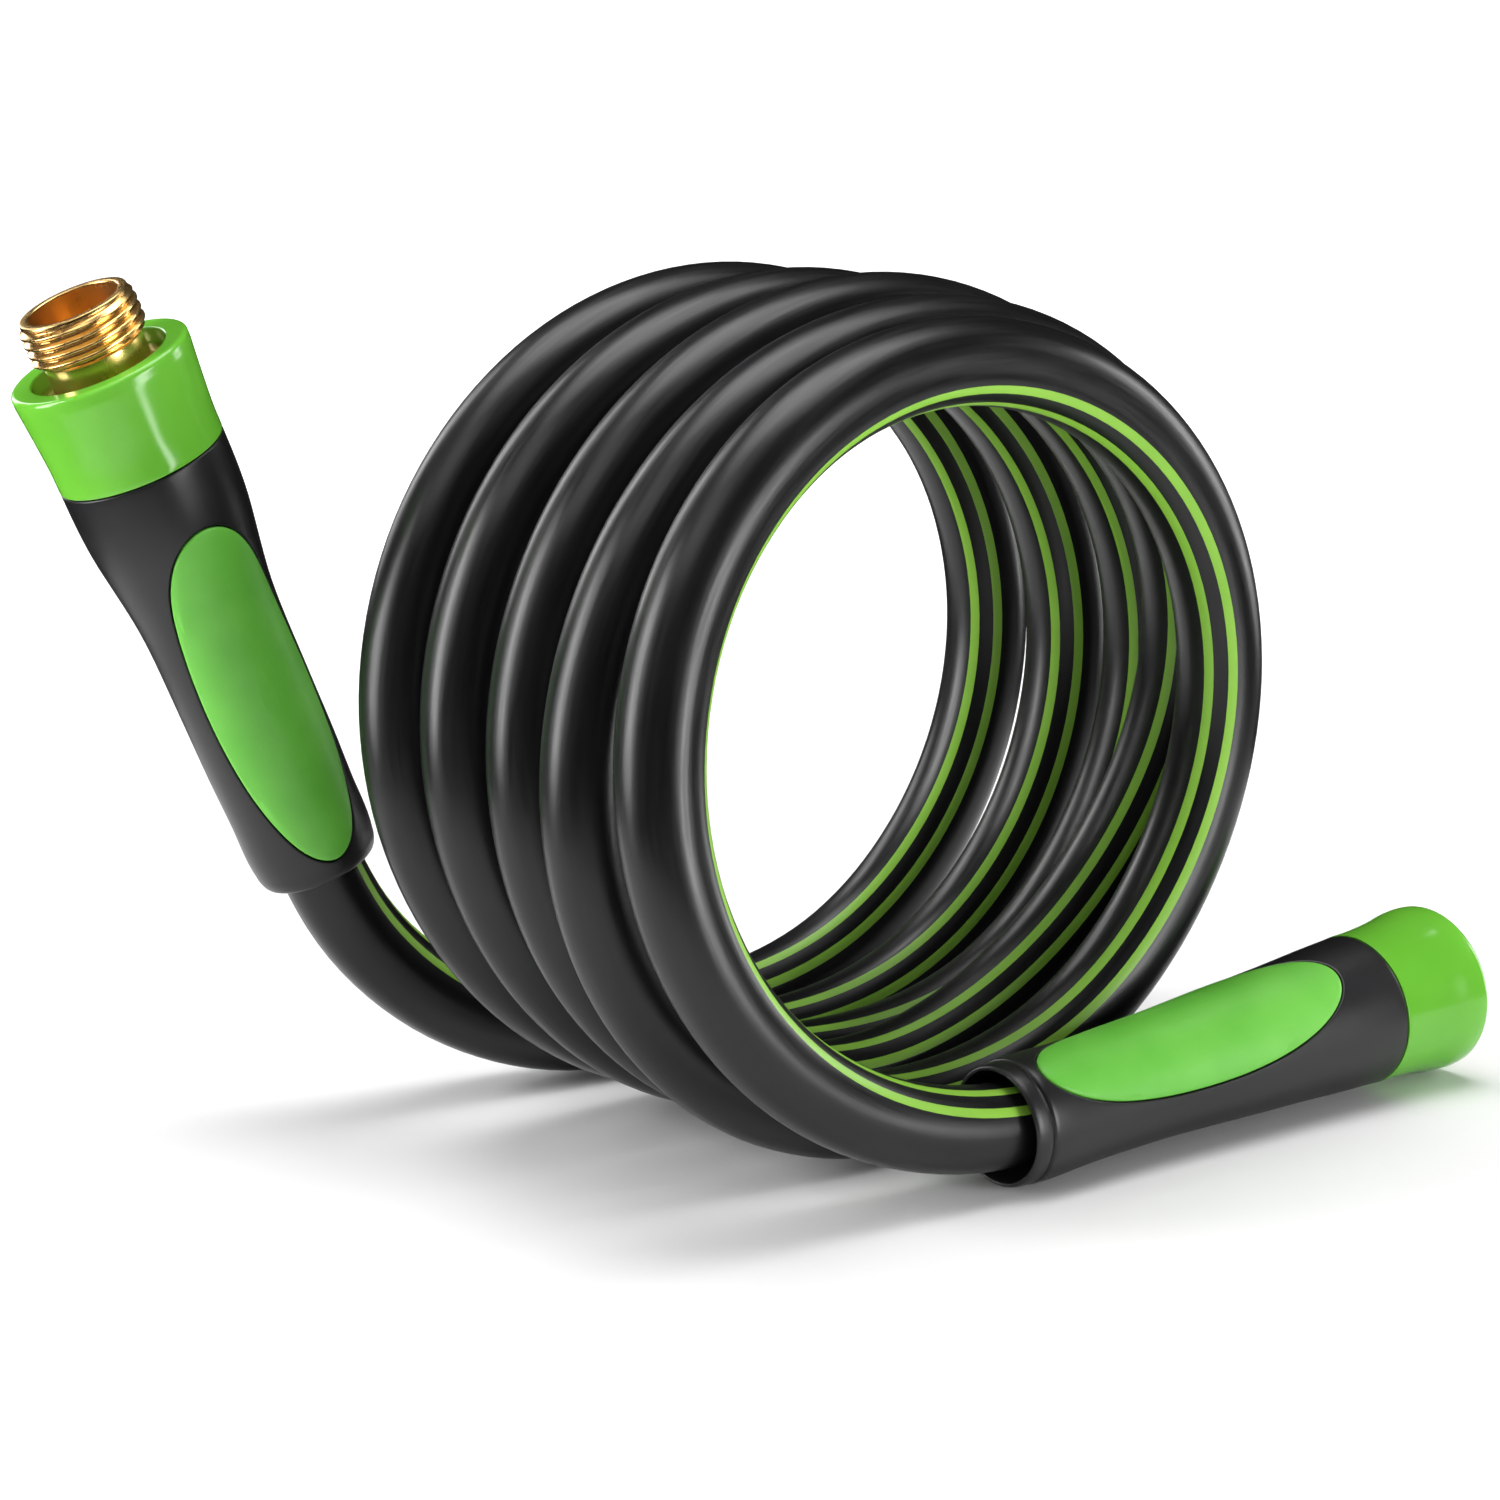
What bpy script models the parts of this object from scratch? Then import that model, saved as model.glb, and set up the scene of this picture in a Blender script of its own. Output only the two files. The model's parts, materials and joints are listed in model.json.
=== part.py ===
"""Short garden hose, wound in five standing turns, with a grip handle on each end.

Metres, +Z up.  The turns stand on their rims on the floor (z = 0) and wind about
an axis along Y.  The hose leaves the first turn at the bottom towards +X, where
the female handle lies on the floor, and it leaves the last turn at the bottom
towards -X, where it rises to the male handle.
"""
import math

import bmesh
import bpy
import numpy as np
from mathutils import Matrix, Vector

MM = 0.001

# ---------------------------------------------------------------- dimensions
HOSE_D = 19.0            # outside diameter of the hose
GAP = 0.3                # clearance between touching pieces
AXIS_Z = 93.6            # height of the coil's axis over the floor
FLAT = 0.3               # how softly a turn flattens where it rests on the floor

# The coil: degrees wound since the female mouth, the hose centre's distance from
# the coil's axis, and its place along that axis (Y).  0, 360, ... is the bottom,
# 90 the left side, 180 the top, 270 the right side.
COIL = [
    (0, 79.6, -58.5), (45, 83.0, -54.5), (90, 87.0, -50.5), (135, 87.5, -45.0),
    (180, 83.0, -40.5), (225, 78.5, -37.5), (270, 78.0, -32.0), (315, 80.5, -27.0),
    (360, 85.0, -24.0), (405, 87.0, -21.5), (450, 86.5, -22.0), (495, 85.5, -21.5),
    (540, 85.0, -20.0), (585, 85.5, -19.0), (630, 83.0, -12.5), (675, 78.5, -5.5),
    (720, 82.5, -2.0), (810, 84.0, 2.0), (900, 87.0, 3.5), (990, 90.5, 8.5),
    (1080, 86.0, 18.0), (1170, 84.5, 27.0), (1260, 85.5, 30.0), (1350, 88.0, 33.6),
    (1440, 85.0, 37.6), (1530, 86.5, 48.5), (1620, 84.5, 54.5), (1710, 85.0, 60.0),
    (1800, 85.0, 66.0),
]
# Rings of the hose in each turn, in degrees from its bottom: the first two are
# where the hose lies flat on the floor, the others are even steps apart.
STATIONS = [-4.0, 12.0] + [12.0 + 344.0 * k / 13 for k in range(1, 13)]

# The tail after the last turn: it lies on the floor as far as TAIL_START, then
# bends up in one arc into the male handle's mouth.
TAIL_START = (-18.6, 69.3)
TAIL_HEADING = (-1.0, 0.198, 0.0)
TAIL_RADIUS = 77.0

# Handles.  Every profile is (distance from the hose-side mouth, radius).
MALE_AXIS = (-0.371, 0.048, 0.927)
MALE_GRIP = [(0.0, 13.0), (1.2, 13.7), (4.0, 14.25), (14.0, 14.6), (26.0, 14.9),
             (38.0, 15.05), (50.0, 15.15), (62.0, 15.35), (68.0, 15.75), (74.0, 16.5),
             (80.0, 17.4), (86.0, 18.25), (92.0, 18.75), (98.0, 18.95), (102.9, 19.0)]
MALE_COLLAR = [(103.2, 19.05), (108.0, 19.1), (114.0, 19.5), (120.0, 20.0),
               (124.2, 20.4), (125.8, 20.3), (126.8, 19.9), (127.2, 19.2)]
MALE_RIM = 127.2         # rim of the collar
MALE_POCKET_R = 15.5     # recess round the thread
MALE_FLANGE = (119.0, 123.6)
MALE_FLANGE_R = 15.2
THREAD_OD = 26.7         # 3/4 in garden hose thread
THREAD_NECK_R = 11.3
THREAD_START = 130.2
MALE_TIP = 141.1
MALE_BORE_R = 10.4       # counterbore at the tip
MALE_BORE_DEPTH = 16.0
MALE_WATERWAY_R = 7.4
WATERWAY_R = 6.0
SHANK_R = 8.9
MALE_SHANK_BACK = 92.6   # the hose ends 0.3 mm short of it

FEMALE_MOUTH = (-6.6, -57.7)     # mouth of the female handle
FEMALE_YAW = 4.2         # degrees that the handle points away from the X axis
FEMALE_GRIP = [(0.0, 13.1), (1.2, 13.6), (4.5, 13.9), (18.0, 13.8), (40.0, 13.75),
               (48.0, 13.95), (58.0, 14.45), (66.0, 14.9), (78.0, 15.5), (90.0, 16.1),
               (98.0, 16.6), (110.4, 17.2)]
FEMALE_COLLAR = [(110.7, 17.3), (116.0, 17.4), (121.0, 17.7), (126.5, 18.3),
                 (130.0, 18.85), (132.8, 19.0), (134.8, 18.6), (135.7, 17.7)]
FEMALE_RIM = 135.7
NUT = (115.1, 133.1)     # swivel nut, back and front
NUT_R = 15.0
NUT_BACK_WALL = 3.0
SOCKET_R = 12.4          # inside the thread's crests
TAIL_BACK = 93.6         # the hose ends 0.3 mm short of it
TAIL_NECK_R = 8.9
TAIL_FLANGE = (118.4, 120.6)
TAIL_FLANGE_R = 12.0
WASHER = (120.9, 123.1)
WASHER_R = (7.0, 12.0)

SLEEVE_BORE_R = 11.2     # the grips are loose round the hose
LIP_WALL = 0.7           # wall of a grip at its mouth
FLARE = 6.0              # length over which its bore flares to the mouth
# Oval inlays: centre's distance from the mouth, half length, half angle in degrees.
MALE_PAD = (46.5, 41.8, 57.0)
FEMALE_PAD = (51.8, 44.4, 59.5)
PAD_PROUD = 0.35
PAD_THICK = 1.5
MALE_PAD_DIRECTION = (-0.111, -0.994, 0.008)
FEMALE_PAD_DIRECTION = (-0.013, -0.523, 0.852)

SIDES = 32               # sides of the turned pieces

# ------------------------------------------------------------------- helpers
for ob in list(bpy.data.objects):
    bpy.data.objects.remove(ob, do_unlink=True)


def material(name, rgb, roughness, metallic=0.0):
    mat = bpy.data.materials.new(name)
    mat.use_nodes = True
    bsdf = mat.node_tree.nodes["Principled BSDF"]
    bsdf.inputs["Base Color"].default_value = (*rgb, 1.0)
    bsdf.inputs["Roughness"].default_value = roughness
    bsdf.inputs["Metallic"].default_value = metallic
    mat.diffuse_color = (*rgb, 1.0)
    return mat


RUBBER = material("hose_rubber", (0.018, 0.018, 0.02), 0.45)
SOFT_BLACK = material("grip_soft_black", (0.03, 0.03, 0.033), 0.55)
GREEN = material("collar_green", (0.12, 0.47, 0.05), 0.25)
GREEN_SOFT = material("pad_green", (0.11, 0.45, 0.045), 0.5)
BRASS = material("brass", (0.75, 0.52, 0.2), 0.22, 1.0)
WASHER_RUBBER = material("washer_rubber", (0.02, 0.02, 0.02), 0.6)


def natural_spline(t, p, start=None, end=None):
    """Second derivatives of a cubic spline through p at t; the ends are natural,
    or have the given first derivatives."""
    t = np.asarray(t, float)
    p = np.asarray(p, float)
    n = len(t)
    h = np.diff(t)
    a = np.zeros((n, n))
    b = np.zeros(p.shape)
    for i in range(1, n - 1):
        a[i, i - 1], a[i, i], a[i, i + 1] = h[i - 1], 2 * (h[i - 1] + h[i]), h[i]
        b[i] = 6 * ((p[i + 1] - p[i]) / h[i] - (p[i] - p[i - 1]) / h[i - 1])
    a[0, 0] = a[-1, -1] = 1.0
    if start is not None:
        a[0, 0], a[0, 1] = 2 * h[0], h[0]
        b[0] = 6 * ((p[1] - p[0]) / h[0] - np.asarray(start, float))
    if end is not None:
        a[-1, -1], a[-1, -2] = 2 * h[-1], h[-1]
        b[-1] = 6 * (np.asarray(end, float) - (p[-1] - p[-2]) / h[-1])
    return np.linalg.solve(a, b)


def spline_at(t, p, m, x):
    t = np.asarray(t, float)
    p = np.asarray(p, float)
    i = np.clip(np.searchsorted(t, x) - 1, 0, len(t) - 2)
    h = t[i + 1] - t[i]
    u, v = (t[i + 1] - x), (x - t[i])
    return (m[i] * u ** 3 / (6 * h) + m[i + 1] * v ** 3 / (6 * h)
            + (p[i] / h - m[i] * h / 6) * u + (p[i + 1] / h - m[i + 1] * h / 6) * v)


def unit(v):
    v = np.asarray(v, float)
    return v / np.linalg.norm(v)


def lying_axis(profile):
    """Height over the floor of a turned piece's axis at its mouth, and its slope,
    when it lies on the floor on its two widest places."""
    best = None
    for i, (s0, r0) in enumerate(profile):
        for s1, r1 in profile[i + 1:]:
            if not (s0 < 60.0 < s1):
                continue
            m = (r1 - r0) / (s1 - s0)
            if all(r <= r0 + m * (s - s0) + 1e-6 for s, r in profile):
                best = (r0 - m * s0, m)
    return best


# --------------------------------------------------------------- the handles
FH, FM = lying_axis(FEMALE_GRIP + FEMALE_COLLAR)
F_TILT = math.asin(FM)
F_YAW = math.radians(FEMALE_YAW)
F_AXIS = np.array([math.cos(F_TILT) * math.cos(F_YAW), math.cos(F_TILT) * math.sin(F_YAW),
                   math.sin(F_TILT)])
F_MOUTH = np.array([*FEMALE_MOUTH, FH / math.cos(F_TILT) + 0.05])
M_AXIS = unit(MALE_AXIS)


def tail_arc(part):
    """Point of the rising arc, part = 0 on the floor to 1 at the mouth."""
    t0 = unit(TAIL_HEADING)
    c = float(t0 @ M_AXIS)
    n = unit(M_AXIS - t0 * c)
    a = math.acos(c) * part
    start = np.array([TAIL_START[0], TAIL_START[1], HOSE_D / 2])
    return start + TAIL_RADIUS * (t0 * math.sin(a) + n * (1 - math.cos(a)))


M_MOUTH = tail_arc(1.0)


# ------------------------------------------------------------------ the hose
def coil_point(degrees):
    """Centre of the hose after winding so far from the female mouth.  The hose
    leaves the mouth in line with the handle, and each turn is pressed flat where
    it rests on the floor."""
    tab = np.array(COIL, float)
    under = F_MOUTH - F_AXIS * (F_MOUTH[0] / F_AXIS[0])     # the handle's axis at x = 0
    tab[0, 1:] = AXIS_Z - under[2], under[1]
    q = np.radians(tab[:, 0])
    th = math.radians(degrees)
    mm = natural_spline(q, tab[:, 1:], start=(tab[0, 1] * FM, 0.0))
    r, y = spline_at(q, tab[:, 1:], mm, th)
    x, z = -r * math.sin(th), AXIS_Z - r * math.cos(th)
    over = z - HOSE_D / 2
    z = HOSE_D / 2 + 0.5 * (over + math.sqrt(over * over + 4 * FLAT * FLAT))
    return np.array([x, y, z])


def route_points():
    """The route's own points, female end first: inside the female handle, round
    the coil, along the floor and up into the male handle."""
    pts = []
    inside_f = TAIL_BACK - GAP
    for k in range(5):
        pts.append(F_MOUTH + F_AXIS * (inside_f * (1 - k / 4.12)))
    for k in range(1, 60):
        pts.append(coil_point(30.0 * k))
    pts.append(coil_point(1800.0))
    for k in range(6):
        pts.append(tail_arc(k / 6.0))
    inside_m = MALE_SHANK_BACK - GAP
    for k in range(5):
        pts.append(M_MOUTH + M_AXIS * (1.5 + (inside_m - 1.5) * k / 4.0))
    return np.array(pts)


def smooth_route():
    """One smooth curve through the route's points: knots, points, derivatives."""
    pts = route_points()
    t = np.concatenate([[0.0], np.cumsum(np.linalg.norm(np.diff(pts, axis=0), axis=1))])
    return t, pts, natural_spline(t, pts)


def hose_route():
    """The rings of the plain hose, read from the smooth curve."""
    t, pts, m = smooth_route()
    first = 5                                # index of the coil's first point
    at = [t[0], (t[0] + t[4]) / 2, t[4], t[4] + 0.35 * (t[5] - t[4]), t[4] + 0.7 * (t[5] - t[4])]
    for turn in range(5):
        for deg in STATIONS:
            third = (360.0 * turn + deg) / 30.0
            if third < 0.5:
                continue
            lo = int(math.floor(third)) + first - 1
            at.append(t[lo] + (third - math.floor(third)) * (t[lo + 1] - t[lo]))
    end = first + 59                         # the bottom of the last turn
    at += [t[end], t[end + 1], t[end + 3], t[end + 5], t[end + 7], t[-1]]
    return [spline_at(t, pts, m, x) for x in at]


def build_hose():
    cu = bpy.data.curves.new("hose", "CURVE")
    cu.dimensions = "3D"
    cu.twist_mode = "MINIMUM"
    cu.bevel_depth = HOSE_D / 2 * MM
    cu.bevel_resolution = 4
    cu.use_fill_caps = True
    route = hose_route()
    sp = cu.splines.new("POLY")
    sp.points.add(len(route) - 1)
    for q, p in zip(sp.points, route):
        q.co = (p[0] * MM, p[1] * MM, p[2] * MM, 1.0)
    cu.materials.append(RUBBER)
    ob = bpy.data.objects.new("hose", cu)
    bpy.context.collection.objects.link(ob)
    return ob


# ---------------------------------------------------------- turned pieces
def frame_matrix(mouth, axis, direction):
    """Local +Z along the handle's axis, local +X towards direction."""
    z = Vector(unit(axis))
    x = Vector(unit(direction))
    x = (x - z * x.dot(z)).normalized()
    y = z.cross(x)
    m = Matrix((x, y, z)).transposed().to_4x4()
    m.translation = Vector(mouth) * MM
    return m


def turned(name, outline, mat, parent, sides=SIDES):
    """A ring turned about local Z from a closed outline of (s, r) points that
    runs up the outside and back down the bore."""
    bm = bmesh.new()
    rings = []
    for s, r in outline:
        ring = []
        for k in range(sides):
            a = 2 * math.pi * k / sides
            ring.append(bm.verts.new((r * math.cos(a) * MM, r * math.sin(a) * MM, s * MM)))
        rings.append(ring)
    n = len(rings)
    for i in range(n):
        lo, hi = rings[i], rings[(i + 1) % n]
        for k in range(sides):
            j = (k + 1) % sides
            bm.faces.new((lo[k], lo[j], hi[j], hi[k]))
    bmesh.ops.recalc_face_normals(bm, faces=bm.faces)
    me = bpy.data.meshes.new(name)
    bm.to_mesh(me)
    bm.free()
    me.shade_smooth()
    me.set_sharp_from_angle(angle=math.radians(35))
    me.materials.append(mat)
    ob = bpy.data.objects.new(name, me)
    bpy.context.collection.objects.link(ob)
    ob.parent = parent
    return ob


def profile_radius(profile, s):
    return float(np.interp(s, [p[0] for p in profile], [p[1] for p in profile]))


def oval_plate(name, profile, pad, mat, parent, inner, outer, grow, cols=10, rows=16):
    """An oval plate that follows the grip's surface about local +X, from
    `inner` to `outer` (radial distances from that surface)."""
    bm = bmesh.new()
    centre, half_l, half_a = pad
    half_l += grow
    half_a = math.radians(half_a) + grow / 15.2
    grid = {}
    for side, off in (("in", inner), ("out", outer)):
        for i in range(rows + 1):
            v = -math.cos(math.pi * i / rows)
            width = math.sqrt(max(0.0, 1.0 - v * v))
            s = centre + v * half_l
            base = profile_radius(profile, max(s, 2.6)) + off
            if i in (0, rows):
                grid[side, i, 0] = bm.verts.new((base * MM, 0.0, s * MM))
                continue
            for j in range(cols + 1):
                a = half_a * width * (2 * j / cols - 1)
                grid[side, i, j] = bm.verts.new((base * math.cos(a) * MM,
                                                 base * math.sin(a) * MM, s * MM))

    def at(side, i, j):
        return grid[side, i, 0 if i in (0, rows) else j]

    for side in ("in", "out"):
        for i in range(rows):
            for j in range(cols):
                quad = [at(side, i, j), at(side, i, j + 1),
                        at(side, i + 1, j + 1), at(side, i + 1, j)]
                face = []
                for q in quad:
                    if q not in face:
                        face.append(q)
                bm.faces.new(face)
    for j in (0, cols):
        for i in range(rows):
            quad = [at("in", i, j), at("out", i, j), at("out", i + 1, j), at("in", i + 1, j)]
            bm.faces.new(quad)
    bmesh.ops.recalc_face_normals(bm, faces=bm.faces)
    me = bpy.data.meshes.new(name)
    bm.to_mesh(me)
    bm.free()
    me.shade_smooth()
    me.set_sharp_from_angle(angle=math.radians(40))
    me.materials.append(mat)
    ob = bpy.data.objects.new(name, me)
    bpy.context.collection.objects.link(ob)
    ob.parent = parent
    return ob


def grip(name, profile, pad, parent):
    """The black sleeve: turned, bored for the hose with a flared mouth, with an
    oval pocket."""
    end = profile[-1][0]
    outline = list(profile) + [(end, SLEEVE_BORE_R), (FLARE, SLEEVE_BORE_R),
                               (0.0, profile[0][1] - LIP_WALL)]
    ob = turned(name, outline, SOFT_BLACK, parent)
    cut = oval_plate(name + "_pocket", profile, pad, SOFT_BLACK, parent,
                     PAD_PROUD - PAD_THICK - GAP, 3.0, GAP)
    cut.hide_render = True
    cut.display_type = "WIRE"
    mod = ob.modifiers.new("pocket", "BOOLEAN")
    mod.operation = "DIFFERENCE"
    mod.solver = "EXACT"
    mod.object = cut
    return ob


# ------------------------------------------------------------------- assembly
hose = build_hose()

male = bpy.data.objects.new("male_end", None)
male.matrix_world = frame_matrix(M_MOUTH, M_AXIS, MALE_PAD_DIRECTION)
bpy.context.collection.objects.link(male)

female = bpy.data.objects.new("female_end", None)
female.matrix_world = frame_matrix(F_MOUTH, F_AXIS, FEMALE_PAD_DIRECTION)
bpy.context.collection.objects.link(female)

# male handle
grip("male_grip", MALE_GRIP, MALE_PAD, male)
oval_plate("male_grip_pad", MALE_GRIP, MALE_PAD, GREEN_SOFT, male,
           PAD_PROUD - PAD_THICK, PAD_PROUD, 0.0)
turned("male_collar",
       MALE_COLLAR + [(MALE_RIM, MALE_POCKET_R + 0.4), (MALE_RIM - 0.6, MALE_POCKET_R),
                      (MALE_FLANGE[0] - GAP, MALE_POCKET_R),
                      (MALE_FLANGE[0] - GAP, SHANK_R + GAP),
                      (MALE_COLLAR[0][0], SHANK_R + GAP)],
       GREEN, male)
turned("male_coupling",
       [(MALE_SHANK_BACK, SHANK_R), (MALE_FLANGE[0], SHANK_R),
        (MALE_FLANGE[0], MALE_FLANGE_R), (MALE_FLANGE[1], MALE_FLANGE_R),
        (MALE_FLANGE[1], THREAD_NECK_R), (THREAD_START, THREAD_NECK_R),
        (THREAD_START + 1.6, THREAD_OD / 2), (MALE_TIP - 1.5, THREAD_OD / 2),
        (MALE_TIP, THREAD_NECK_R + 1.1), (MALE_TIP, MALE_BORE_R),
        (MALE_TIP - MALE_BORE_DEPTH, MALE_BORE_R),
        (MALE_TIP - MALE_BORE_DEPTH - 2.0, MALE_WATERWAY_R),
        (MALE_SHANK_BACK, MALE_WATERWAY_R)],
       BRASS, male)

# female handle
grip("female_grip", FEMALE_GRIP, FEMALE_PAD, female)
oval_plate("female_grip_pad", FEMALE_GRIP, FEMALE_PAD, GREEN_SOFT, female,
           PAD_PROUD - PAD_THICK, PAD_PROUD, 0.0)
turned("female_collar",
       FEMALE_COLLAR + [(FEMALE_RIM, NUT_R + 0.8), (FEMALE_RIM - 0.6, NUT_R + GAP),
                        (NUT[0] - GAP, NUT_R + GAP), (NUT[0] - GAP, TAIL_NECK_R + 1.0),
                        (FEMALE_COLLAR[0][0], TAIL_NECK_R + 1.0)],
       GREEN, female)
turned("female_nut",
       [(NUT[0], NUT_R), (NUT[1], NUT_R), (NUT[1], SOCKET_R + 0.9), (NUT[1] - 0.9, SOCKET_R),
        (NUT[0] + NUT_BACK_WALL, SOCKET_R), (NUT[0] + NUT_BACK_WALL, TAIL_NECK_R + 0.5),
        (NUT[0], TAIL_NECK_R + 0.5)],
       BRASS, female)
turned("female_tailpiece",
       [(TAIL_BACK, TAIL_NECK_R), (TAIL_FLANGE[0], TAIL_NECK_R),
        (TAIL_FLANGE[0], TAIL_FLANGE_R), (TAIL_FLANGE[1], TAIL_FLANGE_R),
        (TAIL_FLANGE[1], WATERWAY_R), (TAIL_BACK, WATERWAY_R)],
       BRASS, female)
turned("female_washer",
       [(WASHER[0], WASHER_R[1]), (WASHER[1], WASHER_R[1]),
        (WASHER[1], WASHER_R[0]), (WASHER[0], WASHER_R[0])],
       WASHER_RUBBER, female)

# ---------------------------------------------------------------------- origin
# The origin is on the floor, under the middle of the whole object.
bpy.context.view_layer.update()
graph = bpy.context.evaluated_depsgraph_get()
low, high = np.full(3, 1e9), np.full(3, -1e9)
for ob in bpy.data.objects:
    if ob.type not in {"MESH", "CURVE"} or ob.hide_render:
        continue
    ev = ob.evaluated_get(graph)
    me = ev.to_mesh()
    for v in me.vertices:
        p = np.array(ev.matrix_world @ v.co)
        low, high = np.minimum(low, p), np.maximum(high, p)
    ev.to_mesh_clear()
SHIFT = Vector((-(low[0] + high[0]) / 2, -(low[1] + high[1]) / 2, -low[2]))
for ob in (hose, male, female):
    ob.matrix_world = Matrix.Translation(SHIFT) @ ob.matrix_world
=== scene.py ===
"""Looks of a short coiled garden hose with a grip handle on each end.

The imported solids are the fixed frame.  Every piece here is built in the same
frame, in millimetres scaled to metres, and rides on the body of the solid that it
stands for.
"""

import json
import math

import bpy
import numpy as np
from mathutils import Matrix, Vector


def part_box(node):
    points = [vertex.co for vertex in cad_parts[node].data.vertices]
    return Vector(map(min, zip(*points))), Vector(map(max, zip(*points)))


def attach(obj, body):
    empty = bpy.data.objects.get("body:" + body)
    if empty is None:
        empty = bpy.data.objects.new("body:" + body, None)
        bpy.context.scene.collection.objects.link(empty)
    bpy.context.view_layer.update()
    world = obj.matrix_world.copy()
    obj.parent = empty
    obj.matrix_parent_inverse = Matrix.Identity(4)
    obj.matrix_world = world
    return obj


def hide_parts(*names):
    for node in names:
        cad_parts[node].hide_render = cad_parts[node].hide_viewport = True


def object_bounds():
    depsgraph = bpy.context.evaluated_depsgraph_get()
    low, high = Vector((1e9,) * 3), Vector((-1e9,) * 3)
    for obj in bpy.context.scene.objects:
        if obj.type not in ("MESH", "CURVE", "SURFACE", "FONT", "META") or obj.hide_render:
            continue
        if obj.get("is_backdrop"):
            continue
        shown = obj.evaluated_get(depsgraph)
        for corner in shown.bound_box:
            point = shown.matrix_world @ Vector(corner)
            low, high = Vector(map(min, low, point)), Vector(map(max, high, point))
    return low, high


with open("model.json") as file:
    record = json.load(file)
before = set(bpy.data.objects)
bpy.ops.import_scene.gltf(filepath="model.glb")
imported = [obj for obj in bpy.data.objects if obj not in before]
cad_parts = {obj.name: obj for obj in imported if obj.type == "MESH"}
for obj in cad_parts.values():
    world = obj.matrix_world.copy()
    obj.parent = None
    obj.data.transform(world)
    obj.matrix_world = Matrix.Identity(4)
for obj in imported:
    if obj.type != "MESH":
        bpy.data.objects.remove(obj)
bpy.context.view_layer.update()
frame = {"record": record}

MM = 0.001
HOSE_BODY = "hose_body"
HANDLE_BODY = "female_handle"

# ----------------------------------------------------------------- dimensions
HOSE_D = 19.0
HOSE_BORE = 12.7
GAP = 0.3
AXIS_Z = 93.6
FLAT = 0.3
COIL = [
    (0, 79.6, -58.5), (45, 83.0, -54.5), (90, 87.0, -50.5), (135, 87.5, -45.0),
    (180, 83.0, -40.5), (225, 78.5, -37.5), (270, 78.0, -32.0), (315, 80.5, -27.0),
    (360, 85.0, -24.0), (405, 87.0, -21.5), (450, 86.5, -22.0), (495, 85.5, -21.5),
    (540, 85.0, -20.0), (585, 85.5, -19.0), (630, 83.0, -12.5), (675, 78.5, -5.5),
    (720, 82.5, -2.0), (810, 84.0, 2.0), (900, 87.0, 3.5), (990, 90.5, 8.5),
    (1080, 86.0, 18.0), (1170, 84.5, 27.0), (1260, 85.5, 30.0), (1350, 88.0, 33.6),
    (1440, 85.0, 37.6), (1530, 86.5, 48.5), (1620, 84.5, 54.5), (1710, 85.0, 60.0),
    (1800, 85.0, 66.0),
]
TAIL_START = (-18.6, 69.3)
TAIL_HEADING = (-1.0, 0.198, 0.0)
TAIL_RADIUS = 77.0
MALE_AXIS = (-0.371, 0.048, 0.927)
MALE_GRIP = [(0.0, 13.0), (1.2, 13.7), (4.0, 14.25), (14.0, 14.6), (26.0, 14.9),
             (38.0, 15.05), (50.0, 15.15), (62.0, 15.35), (68.0, 15.75), (74.0, 16.5),
             (80.0, 17.4), (86.0, 18.25), (92.0, 18.75), (98.0, 18.95), (102.9, 19.0)]
MALE_COLLAR = [(103.2, 19.05), (108.0, 19.1), (114.0, 19.5), (120.0, 20.0),
               (124.2, 20.4), (125.8, 20.3), (126.8, 19.9), (127.2, 19.2)]
MALE_RIM = 127.2
MALE_POCKET_R = 15.5
MALE_FLANGE = (119.0, 123.6)
MALE_FLANGE_R = 15.2
THREAD_OD = 26.7
THREAD_PITCH = 25.4 / 11.5
THREAD_DEPTH = 1.25
THREAD_NECK_R = 11.3
THREAD_START = 130.2
MALE_TIP = 141.1
MALE_BORE_R = 10.4
MALE_BORE_DEPTH = 16.0
MALE_WATERWAY_R = 7.4
WATERWAY_R = 6.0
SHANK_R = 8.9
MALE_SHANK_BACK = 92.6
FEMALE_MOUTH = (-6.6, -57.7)
FEMALE_YAW = 4.2
FEMALE_GRIP = [(0.0, 13.1), (1.2, 13.6), (4.5, 13.9), (18.0, 13.8), (40.0, 13.75),
               (48.0, 13.95), (58.0, 14.45), (66.0, 14.9), (78.0, 15.5), (90.0, 16.1),
               (98.0, 16.6), (110.4, 17.2)]
FEMALE_COLLAR = [(110.7, 17.3), (116.0, 17.4), (121.0, 17.7), (126.5, 18.3),
                 (130.0, 18.85), (132.8, 19.0), (134.8, 18.6), (135.7, 17.7)]
FEMALE_RIM = 135.7
NUT = (115.1, 133.1)
NUT_R = 15.0
NUT_BACK_WALL = 3.0
SOCKET_R = 12.4
TAIL_BACK = 93.6
TAIL_NECK_R = 8.9
TAIL_FLANGE = (118.4, 120.6)
TAIL_FLANGE_R = 12.0
WASHER = (120.9, 123.1)
WASHER_R = (7.0, 12.0)
SLEEVE_BORE_R = 11.2
LIP_WALL = 0.7
FLARE = 6.0
MALE_PAD = (46.5, 41.8, 57.0)
FEMALE_PAD = (51.8, 44.4, 59.5)
PAD_PROUD = 0.35
PAD_THICK = 1.5
MALE_PAD_DIRECTION = (-0.111, -0.994, 0.008)
FEMALE_PAD_DIRECTION = (-0.013, -0.523, 0.852)

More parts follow.
